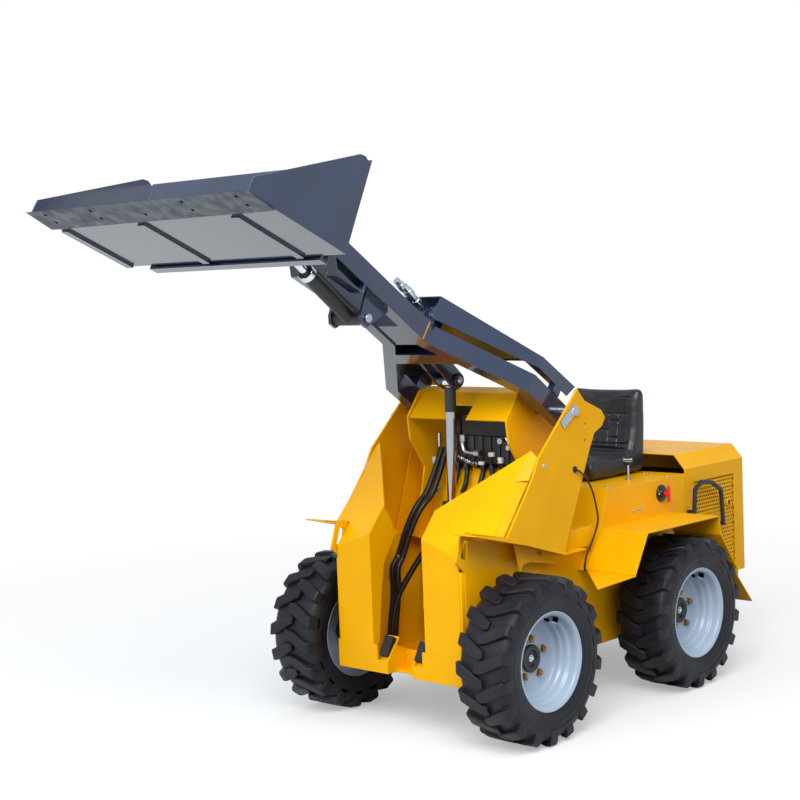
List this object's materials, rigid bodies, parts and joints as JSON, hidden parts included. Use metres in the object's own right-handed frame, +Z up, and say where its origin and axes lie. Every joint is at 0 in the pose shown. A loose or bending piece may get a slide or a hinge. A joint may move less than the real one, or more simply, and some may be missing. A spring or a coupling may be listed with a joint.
{
  "type": "compact skid steer loader",
  "caption": "Compact ride-on skid steer loader with an open seat, straight lifting boom, tilting bucket and hinged rear engine hood.",
  "frame": {"origin": "centre of the machine's overall box, on the ground", "axes": "+X forward towards the bucket, +Y to the driver's left, +Z up"},
  "size_m": [2.9092, 1.11, 1.9725],
  "materials": {
    "body_yellow": "gloss yellow paint",
    "boom_dark": "gloss dark grey-blue paint",
    "frame_black": "satin black paint",
    "rim_grey": "pale grey-blue paint",
    "tyre_rubber": "black rubber",
    "hose_rubber": "black rubber hose",
    "stop_rubber": "black rubber",
    "chrome_rod": "polished hard chrome",
    "bare_steel": "bare steel",
    "seat_vinyl": "black vinyl",
    "red_plastic": "red plastic",
    "engine_iron": "painted iron"
  },
  "bodies": {
    "chassis": {"lower_frame": "body_yellow", "guard_left": "body_yellow", "guard_right": "body_yellow", "tower_left": "body_yellow", "tower_right": "body_yellow", "bulkhead": "frame_black", "visor_plate": "body_yellow", "valve_block": "bare_steel", "seat_deck": "body_yellow", "seat_base": "frame_black", "seat": "seat_vinyl", "fender_left": "body_yellow", "fender_right": "body_yellow", "isolator_switch": "red_plastic", "rubber_stops": "stop_rubber", "control_levers": "frame_black", "engine_block": "engine_iron", "boom_pivot_pins": "bare_steel", "bay_hose_1": "hose_rubber", "bay_hose_2": "hose_rubber", "bay_hose_3": "hose_rubber", "tower_cable": "hose_rubber", "wheel_motor_front_left": "frame_black", "wheel_motor_front_right": "frame_black", "wheel_motor_rear_left": "frame_black", "wheel_motor_rear_right": "frame_black"},
    "hood": {"engine_hood": "body_yellow", "grab_handles": "frame_black"},
    "boom": {"boom_arms": "boom_dark", "hose_guard": "boom_dark"},
    "lift_barrel": {"lift_cylinder_barrel": "frame_black"},
    "lift_rod": {"lift_cylinder_rod": "chrome_rod"},
    "tilt_barrel": {"tilt_cylinder_barrel": "frame_black"},
    "tilt_rod": {"tilt_cylinder_rod": "chrome_rod"},
    "bucket": {"bucket_shell": "boom_dark", "bucket_cutting_edge": "boom_dark", "coupler_frame": "boom_dark"},
    "wheel_front_left": {"tyre_front_left": "tyre_rubber", "rim_front_left": "rim_grey"},
    "wheel_front_right": {"tyre_front_right": "tyre_rubber", "rim_front_right": "rim_grey"},
    "wheel_rear_left": {"tyre_rear_left": "tyre_rubber", "rim_rear_left": "rim_grey"},
    "wheel_rear_right": {"tyre_rear_right": "tyre_rubber", "rim_rear_right": "rim_grey"}
  },
  "joints": [
    {"name": "boom_lift", "type": "hinge", "parent": "chassis", "child": "boom", "pos_m": [-0.17641, 0, 1.108], "axis": [0, -1, 0], "range_deg": [-88, 4]},
    {"name": "bucket_tilt", "type": "hinge", "parent": "boom", "child": "bucket", "pos_m": [0.74469, 0, 1.76259], "axis": [0, 1, 0], "range_deg": [-68, 45]},
    {"name": "lift_barrel_pivot", "type": "hinge", "parent": "chassis", "child": "lift_barrel", "pos_m": [0.05659, 0, 0.33], "axis": [0, -1, 0], "range_deg": [-1.39, 9.5]},
    {"name": "lift_rod_slide", "type": "slide", "parent": "lift_barrel", "child": "lift_rod", "axis": [-0.0314, 0, 0.9995], "range_m": [-0.3144, 0.0162]},
    {"name": "tilt_barrel_pivot", "type": "hinge", "parent": "boom", "child": "tilt_barrel", "pos_m": [0.53463, 0, 1.47468], "axis": [0, -1, 0], "range_deg": [-4.78, 6.72]},
    {"name": "tilt_rod_slide", "type": "slide", "parent": "tilt_barrel", "child": "tilt_rod", "axis": [0.7833, 0, 0.6217], "range_m": [-0.0665, 0.0995]},
    {"name": "hood_hinge", "type": "hinge", "parent": "chassis", "child": "hood", "pos_m": [-1.44441, 0, 0.32], "axis": [0, -1, 0], "range_deg": [0, 60]},
    {"name": "wheel_spin_front_left", "type": "hinge", "parent": "chassis", "child": "wheel_front_left", "pos_m": [0.18459, 0.452, 0.29], "axis": [0, 1, 0], "continuous": true},
    {"name": "wheel_spin_front_right", "type": "hinge", "parent": "chassis", "child": "wheel_front_right", "pos_m": [0.18459, -0.452, 0.29], "axis": [0, 1, 0], "continuous": true},
    {"name": "wheel_spin_rear_left", "type": "hinge", "parent": "chassis", "child": "wheel_rear_left", "pos_m": [-0.74941, 0.452, 0.29], "axis": [0, 1, 0], "continuous": true},
    {"name": "wheel_spin_rear_right", "type": "hinge", "parent": "chassis", "child": "wheel_rear_right", "pos_m": [-0.74941, -0.452, 0.29], "axis": [0, 1, 0], "continuous": true}
  ],
  "couplings": [
    {"joint": "lift_barrel_pivot", "follows": "boom_lift", "ratio": -0.09658},
    {"joint": "lift_rod_slide", "follows": "boom_lift", "m_per_rad": 0.2034},
    {"joint": "tilt_barrel_pivot", "follows": "bucket_tilt", "ratio": -0.08406},
    {"joint": "tilt_rod_slide", "follows": "bucket_tilt", "m_per_rad": -0.08214}
  ]
}
